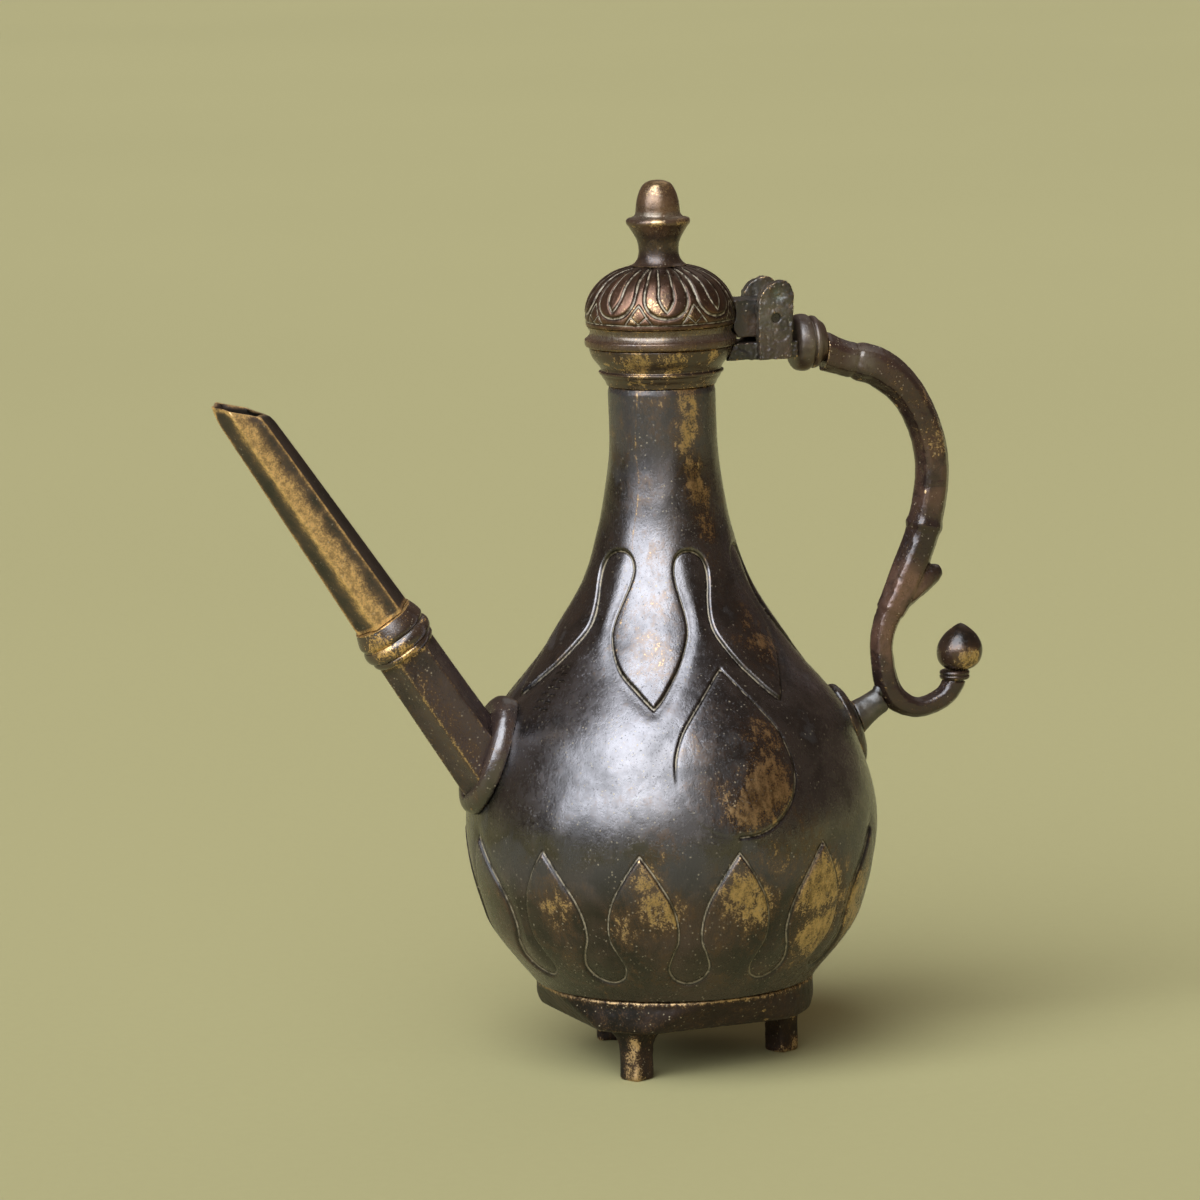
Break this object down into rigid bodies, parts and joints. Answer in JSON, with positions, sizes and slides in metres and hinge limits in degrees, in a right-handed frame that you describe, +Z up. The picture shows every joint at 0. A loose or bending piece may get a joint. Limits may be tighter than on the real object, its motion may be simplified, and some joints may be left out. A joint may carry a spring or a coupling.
{
  "type": "brass tea kettle",
  "caption": "Tall brass ewer kettle: pear body on a legged ring stand, faceted straight spout, collar with hinged domed lid and acorn finial, and S-scroll handle.",
  "frame": {"origin": "on the table, midway between the spout's tip and the handle's bud", "axes": "+Z up, +X from the spout towards the handle, +Y away from the side that the picture shows"},
  "size_m": [0.2694, 0.1398, 0.2999],
  "materials": {
    "body_shell": "dark brown patina, worn to brass on the flanks",
    "base_disc": "dark brown patina",
    "foot_stand": "dark brown patina, bright edges",
    "neck_collar": "warm brown patina",
    "spout_flange": "dark brown patina",
    "spout_lower": "dark brown patina",
    "spout_knuckle": "worn brass",
    "spout_upper": "worn brass over brown patina",
    "hinge_bracket": "dark brown patina",
    "hinge_pin": "dark brown patina",
    "handle_bead": "dark brown patina",
    "handle_grip": "warm brown patina, polished by the hand",
    "bud_ring": "warm brown patina",
    "handle_bud": "worn brass",
    "handle_strut": "dark brown patina",
    "strut_pad": "dark brown patina",
    "lid_rim": "warm brown patina",
    "lid_dome": "warm brown patina, engraved",
    "lid_finial": "worn brass",
    "lid_tongue": "warm brown patina"
  },
  "bodies": {
    "pot": {"body_shell": "body_shell", "base_disc": "base_disc", "foot_stand": "foot_stand", "neck_collar": "neck_collar", "spout_flange": "spout_flange", "spout_lower": "spout_lower", "spout_knuckle": "spout_knuckle", "spout_upper": "spout_upper", "hinge_bracket": "hinge_bracket", "hinge_pin": "hinge_pin", "handle_bead": "handle_bead", "handle_grip": "handle_grip", "bud_ring": "bud_ring", "handle_bud": "handle_bud", "handle_strut": "handle_strut", "strut_pad": "strut_pad"},
    "lid": {"lid_rim": "lid_rim", "lid_dome": "lid_dome", "lid_finial": "lid_finial", "lid_tongue": "lid_tongue"}
  },
  "joints": [
    {"name": "lid_hinge", "type": "hinge", "parent": "pot", "child": "lid", "pos_m": [0.05984, 0, 0.2524], "axis": [0, 1, 0], "range_deg": [0, 105]}
  ]
}
